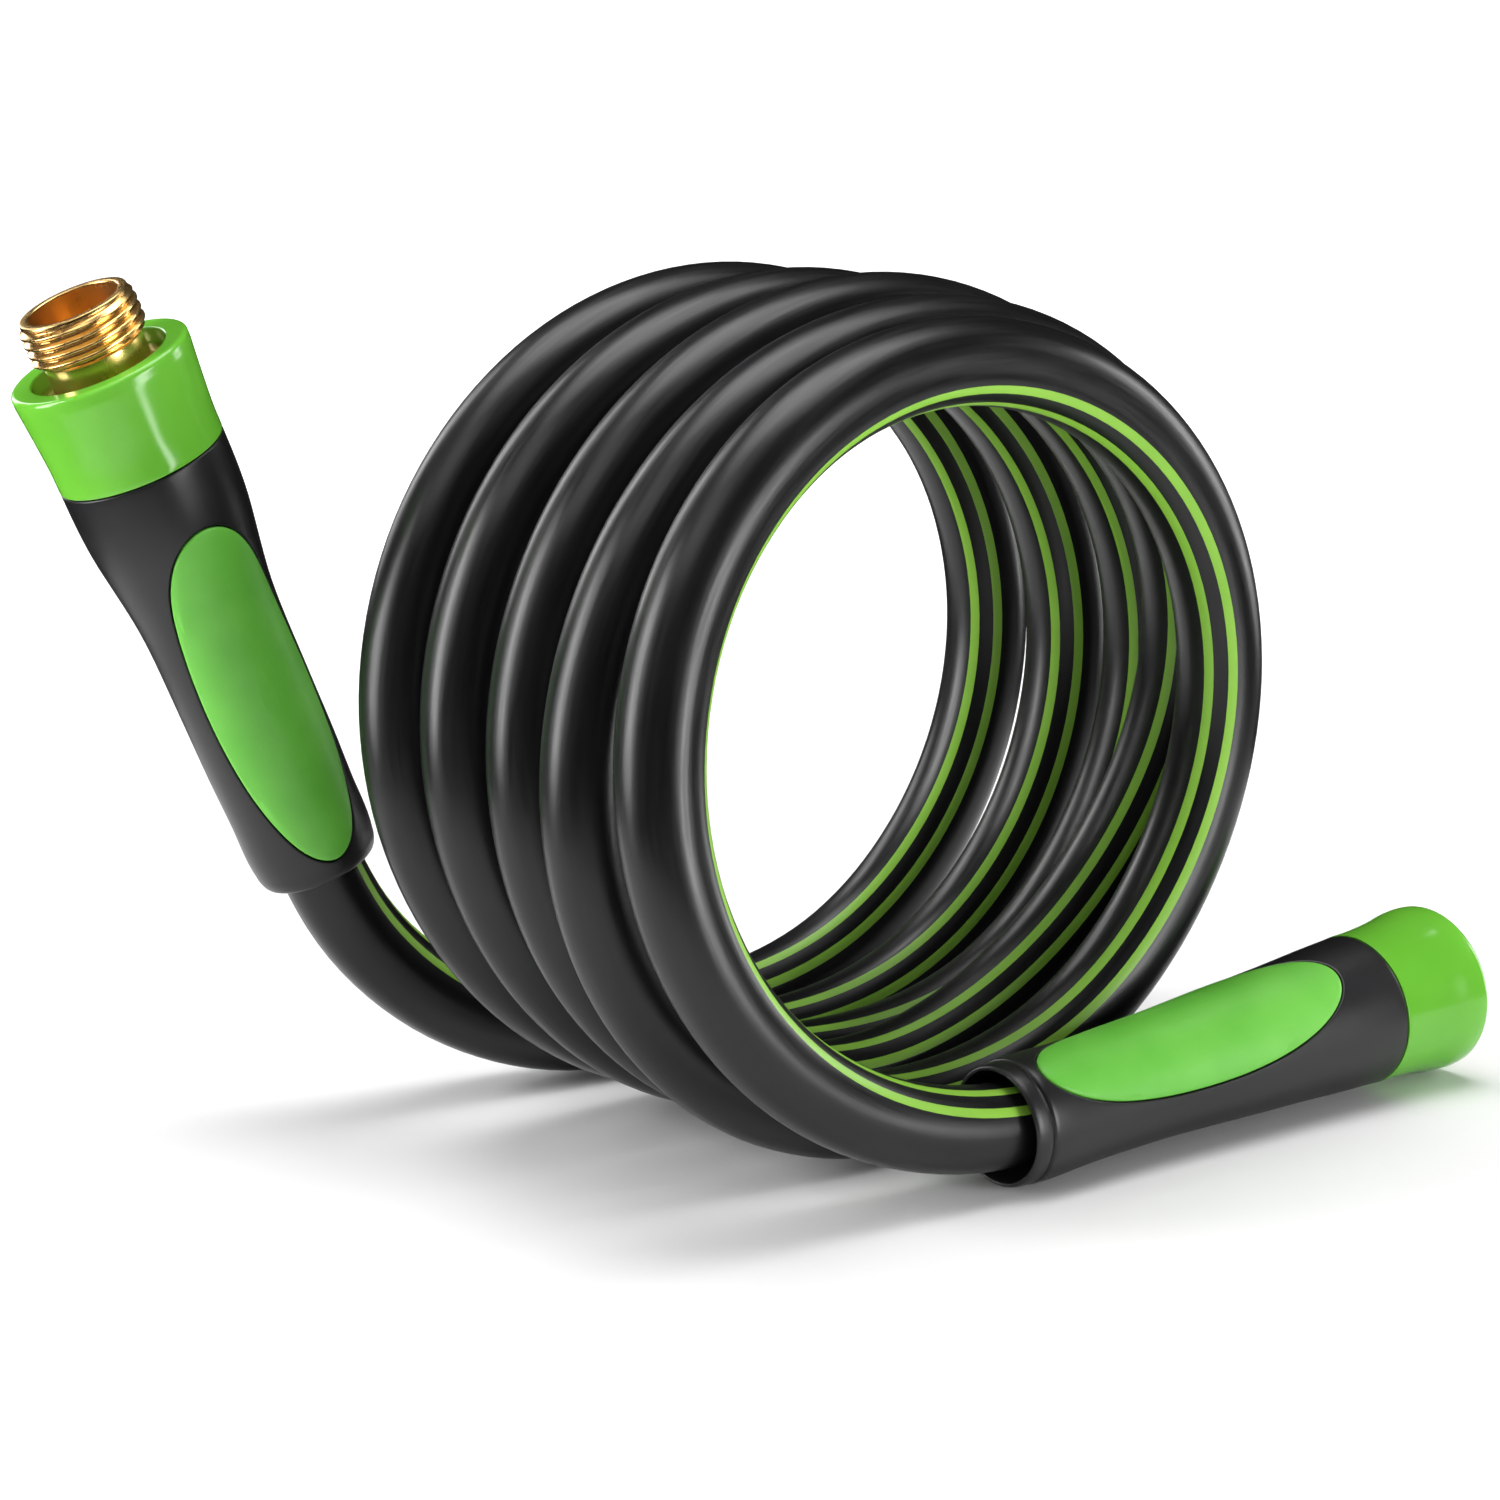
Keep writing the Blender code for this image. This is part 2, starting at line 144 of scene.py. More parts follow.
# Studio: ambient light, and soft lights as (name, bearing, elevation, distance,
# width, height, radiance).
WORLD = 0.20
LIGHTS = [
    ("key_left", -80.0, 14.0, 1.15, 0.40, 0.95, 12.0),
    ("overhead", 170.0, 84.0, 1.20, 1.10, 0.80, 5.2),
    ("rim_right", 118.0, 8.0, 1.25, 0.30, 0.80, 7.0),
    ("strip_right", 55.0, -1.0, 1.20, 0.46, 0.80, 12.0),
    ("rim_left", -138.0, 22.0, 1.25, 0.30, 0.80, 5.0),
    ("top_front", -40.0, 52.0, 1.20, 0.70, 0.45, 1.9),
]

RING_STEP = 4.0          # between the rings of the hose
STRIPE_HALF = 6.5        # half a stripe's width, in degrees round the hose
STRIPE_APART = 33.0      # between the two stripes' centres, in degrees


# ------------------------------------------------------------------- the route
def natural_spline(t, p, start=None, end=None):
    t = np.asarray(t, float)
    p = np.asarray(p, float)
    n = len(t)
    h = np.diff(t)
    a = np.zeros((n, n))
    b = np.zeros(p.shape)
    for i in range(1, n - 1):
        a[i, i - 1], a[i, i], a[i, i + 1] = h[i - 1], 2 * (h[i - 1] + h[i]), h[i]
        b[i] = 6 * ((p[i + 1] - p[i]) / h[i] - (p[i] - p[i - 1]) / h[i - 1])
    a[0, 0] = a[-1, -1] = 1.0
    if start is not None:
        a[0, 0], a[0, 1] = 2 * h[0], h[0]
        b[0] = 6 * ((p[1] - p[0]) / h[0] - np.asarray(start, float))
    if end is not None:
        a[-1, -1], a[-1, -2] = 2 * h[-1], h[-1]
        b[-1] = 6 * (np.asarray(end, float) - (p[-1] - p[-2]) / h[-1])
    return np.linalg.solve(a, b)


def spline_at(t, p, m, x):
    t = np.asarray(t, float)
    p = np.asarray(p, float)
    i = np.clip(np.searchsorted(t, x) - 1, 0, len(t) - 2)
    h = t[i + 1] - t[i]
    u, v = (t[i + 1] - x), (x - t[i])
    return (m[i] * u ** 3 / (6 * h) + m[i + 1] * v ** 3 / (6 * h)
            + (p[i] / h - m[i] * h / 6) * u + (p[i + 1] / h - m[i + 1] * h / 6) * v)


def unit(v):
    v = np.asarray(v, float)
    return v / np.linalg.norm(v)


def lying_axis(profile):
    best = None
    for i, (s0, r0) in enumerate(profile):
        for s1, r1 in profile[i + 1:]:
            if not (s0 < 60.0 < s1):
                continue
            m = (r1 - r0) / (s1 - s0)
            if all(r <= r0 + m * (s - s0) + 1e-6 for s, r in profile):
                best = (r0 - m * s0, m)
    return best


FH, FM = lying_axis(FEMALE_GRIP + FEMALE_COLLAR)
F_TILT = math.asin(FM)
F_YAW = math.radians(FEMALE_YAW)
F_AXIS = np.array([math.cos(F_TILT) * math.cos(F_YAW), math.cos(F_TILT) * math.sin(F_YAW),
                   math.sin(F_TILT)])
F_MOUTH = np.array([*FEMALE_MOUTH, FH / math.cos(F_TILT) + 0.05])
M_AXIS = unit(MALE_AXIS)


def tail_arc(part):
    t0 = unit(TAIL_HEADING)
    c = float(t0 @ M_AXIS)
    n = unit(M_AXIS - t0 * c)
    a = math.acos(c) * part
    start = np.array([TAIL_START[0], TAIL_START[1], HOSE_D / 2])
    return start + TAIL_RADIUS * (t0 * math.sin(a) + n * (1 - math.cos(a)))


M_MOUTH = tail_arc(1.0)


def coil_point(degrees):
    tab = np.array(COIL, float)
    under = F_MOUTH - F_AXIS * (F_MOUTH[0] / F_AXIS[0])     # the handle's axis at x = 0
    tab[0, 1:] = AXIS_Z - under[2], under[1]
    q = np.radians(tab[:, 0])
    th = math.radians(degrees)
    mm = natural_spline(q, tab[:, 1:], start=(tab[0, 1] * FM, 0.0))
    r, y = spline_at(q, tab[:, 1:], mm, th)
    x, z = -r * math.sin(th), AXIS_Z - r * math.cos(th)
    over = z - HOSE_D / 2
    z = HOSE_D / 2 + 0.5 * (over + math.sqrt(over * over + 4 * FLAT * FLAT))
    return np.array([x, y, z])


def route_points():
    pts = []
    inside_f = TAIL_BACK - GAP
    for k in range(5):
        pts.append(F_MOUTH + F_AXIS * (inside_f * (1 - k / 4.12)))
    for k in range(1, 60):
        pts.append(coil_point(30.0 * k))
    pts.append(coil_point(1800.0))
    for k in range(6):
        pts.append(tail_arc(k / 6.0))
    inside_m = MALE_SHANK_BACK - GAP
    for k in range(5):
        pts.append(M_MOUTH + M_AXIS * (1.5 + (inside_m - 1.5) * k / 4.0))
    return np.array(pts)


# The solids' origin is under the middle of the whole object; the washer's box
# says how far that is from the coil's own origin.
low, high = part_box("female_washer")
ORIGIN = np.array((low + high) / 2) / MM - (F_MOUTH + F_AXIS * (WASHER[0] + WASHER[1]) / 2)


def smooth_line(step):
    """Points a step apart on the route, their tangents, and how many degrees the
    hose has wound there."""
    pts = route_points()
    knots = np.concatenate([[0.0], np.cumsum(np.linalg.norm(np.diff(pts, axis=0), axis=1))])
    m = natural_spline(knots, pts)
    fine = np.linspace(0.0, knots[-1], 6001)
    line = np.array([spline_at(knots, pts, m, x) for x in fine])
    run = np.concatenate([[0.0], np.cumsum(np.linalg.norm(np.diff(line, axis=0), axis=1))])
    n = int(round(run[-1] / step))
    at = np.linspace(0.0, run[-1], n + 1)
    par = np.interp(at, run, fine)
    centre = np.array([spline_at(knots, pts, m, x) for x in par])
    ahead = np.array([spline_at(knots, pts, m, min(x + 0.05, knots[-1])) for x in par])
    behind = np.array([spline_at(knots, pts, m, max(x - 0.05, 0.0)) for x in par])
    tangent = (ahead - behind)
    tangent /= np.linalg.norm(tangent, axis=1)[:, None]
    wound = np.interp(par, np.concatenate([[0.0], knots[4:65]]),
                      np.concatenate([[-90.0], [0.0], 30.0 * np.arange(1, 60), [1800.0]]))
    return centre, tangent, at, wound


# ---------------------------------------------------------------- mesh helpers
def add_mesh(name, verts, faces, mats, face_mats=None, matrix=None, sharp=None, uvs=None):
    """verts in millimetres; faces as lists of vertex indices."""
    me = bpy.data.meshes.new(name)
    v = np.asarray(verts, float) * MM
    if matrix is not None:
        a = np.array(matrix, float)
        v = v @ a[:3, :3].T + a[:3, 3]
    me.from_pydata(v.tolist(), [], faces)
    for mat in mats:
        me.materials.append(mat)
    if face_mats is not None:
        me.polygons.foreach_set("material_index", np.asarray(face_mats, np.int32))
    if uvs is not None:
        layer = me.uv_layers.new(name="UVMap")
        layer.data.foreach_set("uv", np.asarray(uvs, np.float32).ravel())
    me.validate()
    me.update()
    me.shade_smooth()
    if sharp is not None:
        me.set_sharp_from_angle(angle=math.radians(sharp))
    ob = bpy.data.objects.new(name, me)
    bpy.context.scene.collection.objects.link(ob)
    return ob


def frame_matrix(mouth, axis, direction):
    """Local +Z along the handle's axis, local +X towards direction."""
    z = Vector(unit(axis))
    x = Vector(unit(direction))
    x = (x - z * x.dot(z)).normalized()
    y = z.cross(x)
    m = Matrix((x, y, z)).transposed().to_4x4()
    m.translation = Vector(np.asarray(mouth) + ORIGIN) * MM
    return m


MALE = frame_matrix(M_MOUTH, M_AXIS, MALE_PAD_DIRECTION)
FEMALE = frame_matrix(F_MOUTH, F_AXIS, FEMALE_PAD_DIRECTION)


def rounded(outline, steps=5):
    """Rounds the corners of a closed outline of (s, r, corner radius), and adds
    a point near each end of its long straight runs."""
    n = len(outline)
    pts = []
    for i in range(n):
        p0 = np.array(outline[i - 1][:2], float)
        p1 = np.array(outline[i][:2], float)
        p2 = np.array(outline[(i + 1) % n][:2], float)
        f = outline[i][2] if len(outline[i]) > 2 else 0.0
        a, b = p0 - p1, p2 - p1
        la, lb = np.linalg.norm(a), np.linalg.norm(b)
        if f <= 0 or la < 1e-6 or lb < 1e-6:
            pts.append(p1)
            continue
        a, b = a / la, b / lb
        half = math.acos(max(-1.0, min(1.0, float(a @ b)))) / 2
        if half > math.radians(88):
            pts.append(p1)
            continue
        cut = min(f / math.tan(half), 0.48 * la, 0.48 * lb)
        f = cut * math.tan(half)
        centre = p1 + unit(a + b) * (f / math.sin(half))
        q0, q1 = p1 + a * cut - centre, p1 + b * cut - centre
        t0, t1 = math.atan2(q0[1], q0[0]), math.atan2(q1[1], q1[0])
        d = (t1 - t0 + math.pi) % (2 * math.pi) - math.pi
        for k in range(steps + 1):
            t = t0 + d * k / steps
            pts.append(centre + f * np.array([math.cos(t), math.sin(t)]))
    out = []
    m = len(pts)
    for i in range(m):
        p, q = pts[i], pts[(i + 1) % m]
        out.append(p)
        length = np.linalg.norm(q - p)
        if length > 1.4:
            out.append(p + (q - p) * (0.22 / length))
            k = int(length // 5.0)
            for j in range(1, k + 1):
                out.append(p + (q - p) * (j / (k + 1.0)))
            out.append(q - (q - p) * (0.22 / length))
    return out


def lathe(name, outline, mats, matrix, sides=144, sharp=38, shape=None, face_mat=None):
    """Turns a closed outline of (s, r) points about the local axis.  shape(s, r, a)
    gives another radius."""
    ang = 2 * np.pi * np.arange(sides) / sides
    verts, faces, which = [], [], []
    for s, r in outline:
        rr = np.array([shape(s, r, a) for a in ang]) if shape else np.full(sides, r)
        verts.append(np.stack([rr * np.cos(ang), rr * np.sin(ang), np.full(sides, s)], 1))
    n = len(outline)
    area = sum(outline[i][0] * outline[(i + 1) % n][1] - outline[(i + 1) % n][0] * outline[i][1]
               for i in range(n))
    for i in range(n):
        j = (i + 1) % n
        for k in range(sides):
            l = (k + 1) % sides
            q = [i * sides + k, i * sides + l, j * sides + l, j * sides + k]
            faces.append(q if area > 0 else q[::-1])
            which.append(face_mat(outline[i], outline[j]) if face_mat else 0)
    return add_mesh(name, np.concatenate(verts), faces, mats, which, matrix, sharp)


def dense(profile, step=1.6):
    """A smooth profile through the given points: its s values, and radius(s)."""
    s = np.array([p[0] for p in profile], float)
    r = np.array([[p[1]] for p in profile], float)
    m = natural_spline(s, r)
    radius = lambda x: float(spline_at(s, r, m, x)[0])
    n = max(2, int(math.ceil((s[-1] - s[0]) / step)))
    return np.linspace(s[0], s[-1], n + 1), radius


# ------------------------------------------------------------------- materials
class Nodes:
    """A material under construction."""

    def __init__(self, name, colour, roughness, metallic=0.0, **sockets):
        self.mat = bpy.data.materials.new(name)
        self.mat.use_nodes = True
        self.tree = self.mat.node_tree
        self.bsdf = self.tree.nodes["Principled BSDF"]
        self.bsdf.inputs["Base Color"].default_value = (*colour, 1.0)
        self.bsdf.inputs["Roughness"].default_value = roughness
        self.bsdf.inputs["Metallic"].default_value = metallic
        for key, value in sockets.items():
            self.bsdf.inputs[key.replace("_", " ")].default_value = value
        self.mat.diffuse_color = (*colour, 1.0)

    def node(self, kind, **values):
        n = self.tree.nodes.new(kind)
        for key, value in values.items():
            setattr(n, key, value)
        return n

    def link(self, a, b):
        self.tree.links.new(a, b)

    def noise(self, vector, scale, detail=3.0, rough=0.55):
        n = self.node("ShaderNodeTexNoise")
        n.inputs["Scale"].default_value = scale
        n.inputs["Detail"].default_value = detail
        n.inputs["Roughness"].default_value = rough
        if vector is not None:
            self.link(vector, n.inputs["Vector"])
        return n.outputs["Fac"]

    def place(self):
        return self.node("ShaderNodeTexCoord").outputs["Object"]

    def mapped(self, fac, low, high, frm=(0.3, 0.7)):
        n = self.node("ShaderNodeMapRange")
        n.inputs["From Min"].default_value, n.inputs["From Max"].default_value = frm
        n.inputs["To Min"].default_value, n.inputs["To Max"].default_value = low, high
        self.link(fac, n.inputs["Value"])
        return n.outputs["Result"]

    def mixed(self, fac, a, b):
        n = self.node("ShaderNodeMix", data_type="RGBA")
        n.inputs["A"].default_value = (*a, 1.0)
        n.inputs["B"].default_value = (*b, 1.0)
        self.link(fac, n.inputs["Factor"])
        return n.outputs["Result"]

    def bump(self, heights, distance, strength=1.0):
        """heights is a list of (socket, weight)."""
        total = None
        for socket, weight in heights:
            m = self.node("ShaderNodeMath", operation="MULTIPLY")
            self.link(socket, m.inputs[0])
            m.inputs[1].default_value = weight
            if total is None:
                total = m.outputs[0]
            else:
                a = self.node("ShaderNodeMath", operation="ADD")
                self.link(total, a.inputs[0])
                self.link(m.outputs[0], a.inputs[1])
                total = a.outputs[0]
        b = self.node("ShaderNodeBump")
        b.inputs["Distance"].default_value = distance
        b.inputs["Strength"].default_value = strength
        self.link(total, b.inputs["Height"])
        self.link(b.outputs["Normal"], self.bsdf.inputs["Normal"])


def along_hose(n, stretch):
    """A seamless vector for the hose's skin from its UVs: stretched along its
    length, and round its section."""
    uv = n.node("ShaderNodeUVMap", uv_map="UVMap").outputs["UV"]
    sep = n.node("ShaderNodeSeparateXYZ")
    n.link(uv, sep.inputs[0])
    turn = n.node("ShaderNodeMath", operation="MULTIPLY")
    n.link(sep.outputs["Y"], turn.inputs[0])
    turn.inputs[1].default_value = 2 * math.pi
    com = n.node("ShaderNodeCombineXYZ")
    for axis, op in (("Y", "COSINE"), ("Z", "SINE")):
        t = n.node("ShaderNodeMath", operation=op)
        n.link(turn.outputs[0], t.inputs[0])
        s = n.node("ShaderNodeMath", operation="MULTIPLY")
        n.link(t.outputs[0], s.inputs[0])
        s.inputs[1].default_value = HOSE_D / 2 * MM
        n.link(s.outputs[0], com.inputs[axis])
    x = n.node("ShaderNodeMath", operation="MULTIPLY")
    n.link(sep.outputs["X"], x.inputs[0])
    x.inputs[1].default_value = stretch
    n.link(x.outputs[0], com.inputs["X"])
    return com.outputs[0]


def hose_skin(name, dark, light, roughness):
    n = Nodes(name, dark, roughness, Specular_IOR_Level=0.42)
    long = along_hose(n, 0.06)
    fine = along_hose(n, 0.5)
    streak = n.noise(long, 900.0, 2.0)
    cloud = n.noise(n.place(), 38.0, 3.0)
    grain = n.noise(fine, 4200.0, 2.0)
    n.link(n.mixed(n.mapped(cloud, 0.0, 1.0), dark, light), n.bsdf.inputs["Base Color"])
    n.link(n.mapped(streak, roughness - 0.05, roughness + 0.06), n.bsdf.inputs["Roughness"])
    n.bump([(streak, 0.6), (grain, 0.4)], 0.00004, 0.6)
    return n.mat


def moulded(name, dark, light, roughness, grain=3200.0, depth=0.00003, **sockets):
    n = Nodes(name, dark, roughness, **sockets)
    where = n.place()
    cloud = n.noise(where, 55.0, 2.0)
    skin = n.noise(where, grain, 2.0)
    peel = n.noise(where, 420.0, 1.0)
    n.link(n.mixed(n.mapped(cloud, 0.0, 1.0), dark, light), n.bsdf.inputs["Base Color"])
    n.link(n.mapped(cloud, roughness - 0.02, roughness + 0.03), n.bsdf.inputs["Roughness"])
    n.bump([(skin, 0.7), (peel, 0.5)], depth, 0.6)
    return n.mat


def brass(name, colour, deep, roughness):
    n = Nodes(name, colour, roughness, 0.97)
    where = n.place()
    cloud = n.noise(where, 160.0, 3.0)
    turned = n.noise(where, 2600.0, 2.0)
    n.link(n.mixed(n.mapped(cloud, 0.0, 1.0), colour, deep), n.bsdf.inputs["Base Color"])
    n.link(n.mapped(cloud, roughness - 0.03, roughness + 0.05), n.bsdf.inputs["Roughness"])
    n.bump([(turned, 1.0)], 0.00001, 0.5)
    return n.mat


HOSE_BLACK = hose_skin("hose_jacket_black", (0.0045, 0.0045, 0.005), (0.0065, 0.0065, 0.0072), 0.33)
HOSE_GREEN = hose_skin("hose_stripe_green", (0.21, 0.46, 0.04), (0.26, 0.53, 0.055), 0.40)
GRIP_BLACK = moulded("grip_soft_black", (0.0075, 0.0072, 0.008), (0.0105, 0.010, 0.0115), 0.36,
                     grain=4200.0, depth=0.00005)
PAD_GREEN = moulded("pad_green", (0.110, 0.46, 0.037), (0.148, 0.535, 0.056), 0.44,
                    grain=3800.0, depth=0.00005)
COLLAR_GREEN = moulded("collar_green", (0.12, 0.42, 0.03), (0.14, 0.46, 0.038), 0.17,
                       grain=900.0, depth=0.000012)
BRASS = brass("brass", (0.90, 0.61, 0.25), (0.80, 0.50, 0.17), 0.24)
WASHER_RUBBER = moulded("washer_rubber", (0.02, 0.02, 0.02), (0.03, 0.03, 0.03), 0.65)


# --------------------------------------------------------------------- the hose
def stripe_roll(wound):
    """How far the first stripe has turned from the coil's -Y side towards its axis."""
    return 26.0 + 7.0 + 10.5 * np.sin(np.radians(wound))


def build_hose():
    centre, tangent, run, wound = smooth_line(RING_STEP)
    n = len(centre)
    down = np.array([0.0, -1.0, 0.0])
    v = down[None, :] - tangent * (tangent @ down)[:, None]
    v /= np.linalg.norm(v, axis=1)[:, None]
    u = np.cross(tangent, v)
    w, a = STRIPE_HALF, STRIPE_APART
    edges = ([-w, -w / 3, w / 3] + [w + (a - 2 * w) * k / 3 for k in range(3)]
             + [a - w, a - w / 3, a + w / 3])
    rest = 360.0 - (a + 2 * w)
    edges += [a + w + rest * k / 55 for k in range(55)]
    edges = np.array(edges)
    kind = [1] * 3 + [0] * 3 + [1] * 3 + [0] * 55
    sides = len(edges)
    roll = stripe_roll(np.clip(wound, 0.0, 1800.0))
    verts, loops = [], []
    for i in range(n):
        t = np.radians(edges + roll[i])
        verts.append(centre[i] + (HOSE_D / 2) * (np.cos(t)[:, None] * v[i] + np.sin(t)[:, None] * u[i]))
    faces, which, uvs = [], [], []
    for i in range(n - 1):
        for k in range(sides):
            l = (k + 1) % sides
            faces.append([i * sides + k, i * sides + l, (i + 1) * sides + l, (i + 1) * sides + k])
            which.append(kind[k])
            e0 = edges[k] / 360.0
            e1 = (edges[l] if l else edges[0] + 360.0) / 360.0
            x0, x1 = run[i] * MM, run[i + 1] * MM
            uvs += [(x0, e0), (x0, e1), (x1, e1), (x1, e0)]
    # the bore shows as a blind hole at each cut end
    base = n * sides
    extra = []
    for i, inward in ((0, 1.0), (n - 1, -1.0)):
        ring = verts[i]
        inner = centre[i] + (ring - centre[i]) * (HOSE_BORE / HOSE_D)
        deep = inner + tangent[i] * inward * 15.0
        extra += [inner, deep]
    verts = np.concatenate(verts + extra) + ORIGIN
    for e, i in enumerate((0, n - 1)):
        i0, d0 = base + 2 * e * sides, base + (2 * e + 1) * sides
        for k in range(sides):
            l = (k + 1) % sides
            a0 = [[i * sides + k, i0 + k, i0 + l, i * sides + l],
                  [i0 + k, d0 + k, d0 + l, i0 + l]]
            for q in a0:
                faces.append(q if e == 0 else q[::-1])
                which.append(0)
                uvs += [(0.0, 0.0)] * 4
        cap = [d0 + k for k in range(sides)]
        faces.append(cap[::-1] if e == 0 else cap)
        which.append(0)
        uvs += [(0.0, 0.0)] * sides
    faces = [f[::-1] for f in faces]
    flipped, at = [], 0
    for f in faces:
        flipped += uvs[at:at + len(f)][::-1]
        at += len(f)
    ob = add_mesh("hose_tube", verts, faces, [HOSE_BLACK, HOSE_GREEN], which, None, 50, flipped)
    return ob, (centre + ORIGIN) * MM, run[-1] * MM


# ------------------------------------------------------------------- the grips
def sleeve(name, profile, oval_pad, bead, mats, matrix):
    """The sleeve, with an oval pocket for its pad: a grid of rows along the sleeve
    and columns round it, in which rings lead from a rectangle to the oval.  bead
    lists the rows of its lip, as (s, r)."""
    _, radius = dense(profile[1:])
    end = profile[-1][0]
    centre, half_length, half_angle = oval_pad[0], oval_pad[1], math.radians(oval_pad[2])
    half_s, half_a = half_length + 1.4, half_angle + math.radians(11.0)
    n_a, n_rest, n_s = 46, 74, 48
    s0, s1 = centre - half_s, centre + half_s
    mouth = profile[0][1] - LIP_WALL
    rows = [(0.5, mouth - 0.08), (0.12, mouth + 0.06), (0.0, mouth + 0.25)] + bead
    if s0 - bead[-1][0] > 1.5:
        k = int(round((s0 - bead[-1][0]) / 1.5))
        rows += [(bead[-1][0] + (s0 - bead[-1][0]) * i / k, None) for i in range(1, k)]
    first = len(rows)
    rows += [(s0 + (s1 - s0) * i / n_s, None) for i in range(n_s + 1)]
    last = len(rows) - 1
    k = max(1, int(round((end - 0.5 - s1) / 1.8)))
    rows += [(s1 + (end - 0.5 - s1) * i / k, None) for i in range(1, k + 1)]
    r_end = radius(end - 0.5)
    rows += [(end - 0.25, r_end - 0.02), (end - 0.07, r_end - 0.12), (end, r_end - 0.35),
             (end, SLEEVE_BORE_R + 0.3), (end - 0.3, SLEEVE_BORE_R), (end * 0.5, SLEEVE_BORE_R),
             (FLARE + 1.0, SLEEVE_BORE_R), (FLARE - 1.0, SLEEVE_BORE_R + 0.25),
             (FLARE / 2, (SLEEVE_BORE_R + mouth) / 2)]
    rows = [(s, radius(s) if r is None else r) for s, r in rows]
    ang = [-half_a + 2 * half_a * k / n_a for k in range(n_a)]
    ang += [half_a + (2 * math.pi - 2 * half_a) * k / n_rest for k in range(n_rest)]
    cols = len(ang)
    verts, index, faces = [], {}, []

    def put(s, r, a):
        verts.append((r * math.cos(a), r * math.sin(a), s))
        return len(verts) - 1

    for i, (s, r) in enumerate(rows):
        for k, a in enumerate(ang):
            if first < i < last and 0 < k < n_a:
                continue
            index[i, k] = put(s, r, a)
    m = len(rows)
    for i in range(m):
        j = (i + 1) % m
        for k in range(cols):
            if first <= i < last and k < n_a:
                continue
            l = (k + 1) % cols
            faces.append([index[i, k], index[i, l], index[j, l], index[j, k]])
    border = [(first, k) for k in range(n_a)] + [(i, n_a) for i in range(first, last)]
    border += [(last, k) for k in range(n_a, 0, -1)] + [(i, 0) for i in range(last, first, -1)]
    ring = [index[b] for b in border]
    flat = [(rows[i][0], ang[k] if k <= n_a else half_a) for i, k in border]
    psi = [math.atan2(a / half_a, (s - centre) / half_s) for s, a in flat]

    def oval(p, grow):
        return (centre + (half_length + grow) * math.cos(p),
                (half_angle + grow / 15.2) * math.sin(p))

    def ring_of(points, drop):
        return [put(s, radius(s) - drop, a) for s, a in points]

    def bridge(a, b):
        n = len(a)
        for k in range(n):
            l = (k + 1) % n
            faces.append([a[k], a[l], b[l], b[k]])

    rim = GAP + 0.45
    for t in (0.14, 0.3, 0.46, 0.62, 0.78, 0.92, 1.0):
        pts = []
        for (s, a), p in zip(flat, psi):
            so, ao = oval(p, rim)
            pts.append((s + (so - s) * t, a + (ao - a) * t))
        new = ring_of(pts, 0.0)
        bridge(ring, new)
        ring = new
    for grow, drop in ((GAP + 0.26, 0.03), (GAP + 0.12, 0.10), (GAP + 0.03, 0.22), (GAP, 0.4),
                       (GAP, 1.0), (GAP, 1.45), (GAP - 0.3, 1.5)):
        new = ring_of([oval(p, grow) for p in psi], drop)
        bridge(ring, new)
        ring = new
    for share in (0.66, 0.33):
        pts = [(centre + (s - centre) * share, a * share)
               for s, a in (oval(p, GAP - 0.3) for p in psi)]
        new = ring_of(pts, 1.5)
        bridge(ring, new)
        ring = new
    mid = put(centre, radius(centre) - 1.5, 0.0)
    for k in range(len(ring)):
        faces.append([ring[k], ring[(k + 1) % len(ring)], mid])
    return add_mesh(name, verts, faces, mats, None, matrix, 50)


def pad(name, profile, oval_pad, mats, matrix):
    """The oval inlay: follows the sleeve's swell, with softly rounded edges."""
    _, radius = dense(profile[1:])
    centre, half_length, half_angle = oval_pad[0], oval_pad[1], math.radians(oval_pad[2])
    n = 160
    psi = [2 * math.pi * k / n for k in range(n)]
    verts, faces = [], []

    def put(s, r, a):
        verts.append((r * math.cos(a), r * math.sin(a), s))
        return len(verts) - 1

    def ring_of(share, off, grow=0.0):
        out = []
        for p in psi:
            s = centre + (half_length + grow) * share * math.cos(p)
            a = (half_angle + grow / 15.2) * share * math.sin(p)
            out.append(put(s, radius(s) + off, a))
        return out

    def bridge(a, b):
        for k in range(n):
            l = (k + 1) % n
            faces.append([a[k], a[l], b[l], b[k]])

    top = put(centre, radius(centre) + PAD_PROUD, 0.0)
    ring = ring_of(0.12, PAD_PROUD)
    for k in range(n):
        faces.append([top, ring[k], ring[(k + 1) % n]])
    for share in (0.25, 0.38, 0.5, 0.62, 0.72, 0.81, 0.88, 0.93):
        new = ring_of(share, PAD_PROUD - 0.06 * share ** 4)
        bridge(ring, new)
        ring = new
    for grow, off in ((-1.3, 0.24), (-0.75, 0.20), (-0.42, 0.12), (-0.2, 0.0), (-0.07, -0.16),
                      (0.0, -0.4), (0.0, PAD_PROUD - PAD_THICK)):
        new = ring_of(1.0, off, grow)
        bridge(ring, new)
        ring = new
    for share in (0.6, 0.25):
        new = ring_of(share, PAD_PROUD - PAD_THICK)
        bridge(ring, new)
        ring = new
    low = put(centre, radius(centre) + PAD_PROUD - PAD_THICK, 0.0)
    for k in range(n):
        faces.append([ring[k], ring[(k + 1) % n], low])
    return add_mesh(name, verts, faces, mats, None, matrix, 50)


